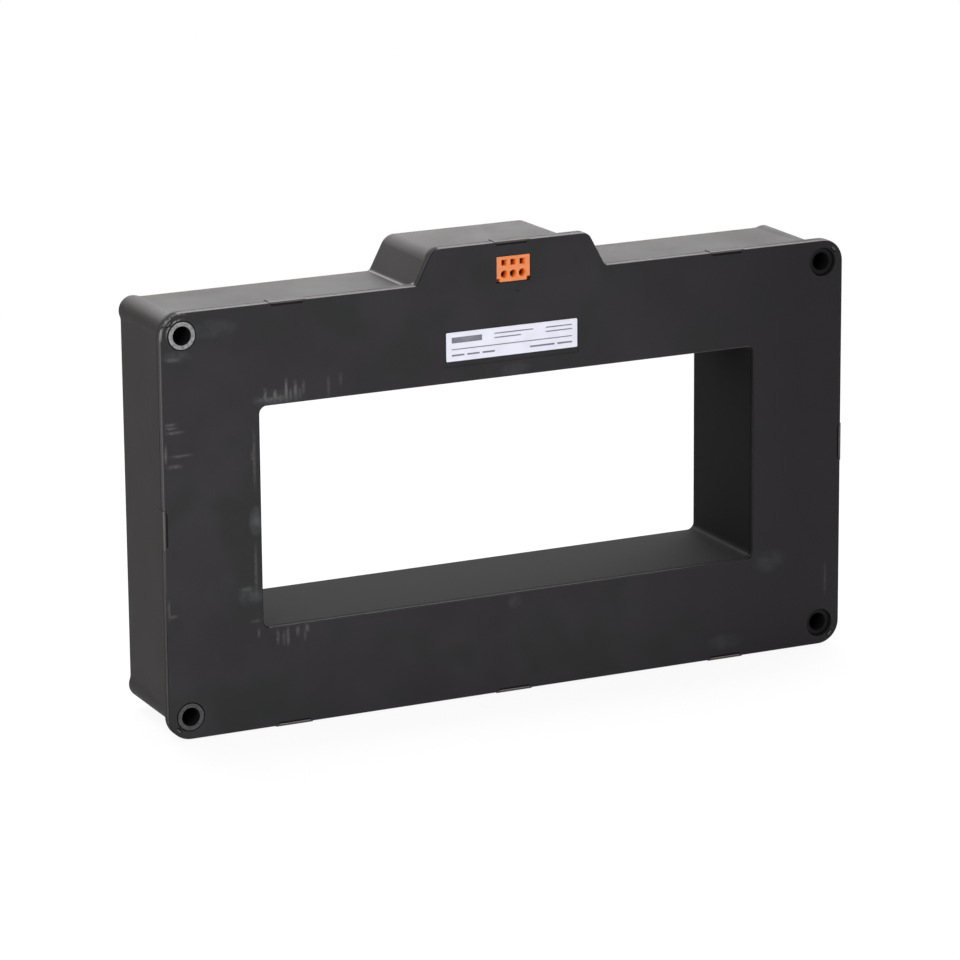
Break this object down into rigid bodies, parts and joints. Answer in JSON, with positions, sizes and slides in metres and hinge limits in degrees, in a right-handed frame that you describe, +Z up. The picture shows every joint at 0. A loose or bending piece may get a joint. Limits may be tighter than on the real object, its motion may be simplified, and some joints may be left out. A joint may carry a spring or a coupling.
{
  "type": "rectangular current transformer",
  "caption": "Flat rectangular ring-shaped current transformer with a wide busbar window, corner mounting holes, a clipped front cover and a small clamp terminal on top.",
  "frame": {"origin": "middle of the part's box, on the level where it stands", "axes": "+X to the right across the front, +Y from the front cover to the rear face, +Z up to the terminal"},
  "size_m": [0.3858, 0.066, 0.2388],
  "materials": {
    "case_plastic": "black moulded plastic, fine matt grain",
    "cover_plastic": "black moulded plastic, fine matt grain, light scuffs",
    "label_film": "white adhesive film, satin",
    "terminal_plastic": "orange moulded plastic, satin",
    "board_laminate": "plain fibre laminate",
    "core_strip": "strip-wound core, dull grey",
    "tray_plastic": "natural moulded plastic",
    "winding_wire": "enamelled copper",
    "wire_insulation": "insulated hook-up wire",
    "bush_bright": "zinc-plated steel",
    "bush_dark": "dark coated steel",
    "pad_foam": "soft foam",
    "contact_metal": "tinned copper",
    "spring_steel": "spring steel"
  },
  "bodies": {
    "root": {"rear_case": "case_plastic", "front_cover": "cover_plastic", "rating_label": "label_film", "terminal_housing": "terminal_plastic", "terminal_board": "board_laminate", "magnetic_core": "core_strip", "core_tray": "tray_plastic", "core_lid": "tray_plastic", "winding_top": "winding_wire", "winding_bottom": "winding_wire", "winding_left": "winding_wire", "winding_right": "winding_wire", "lead_start": "wire_insulation", "lead_finish": "wire_insulation", "mounting_bush_top_left": "bush_bright", "core_pad_top_left": "pad_foam", "mounting_bush_top_right": "bush_dark", "core_pad_top_right": "pad_foam", "winding_link_top_right": "wire_insulation", "mounting_bush_bottom_left": "bush_dark", "core_pad_bottom_left": "pad_foam", "winding_link_bottom_left": "wire_insulation", "mounting_bush_bottom_right": "bush_dark", "core_pad_bottom_right": "pad_foam", "winding_link_bottom_right": "wire_insulation", "contact_bar_1": "contact_metal", "clamp_spring_1": "spring_steel", "contact_bar_2": "contact_metal", "clamp_spring_2": "spring_steel", "contact_bar_3": "contact_metal", "clamp_spring_3": "spring_steel"}
  },
  "joints": []
}
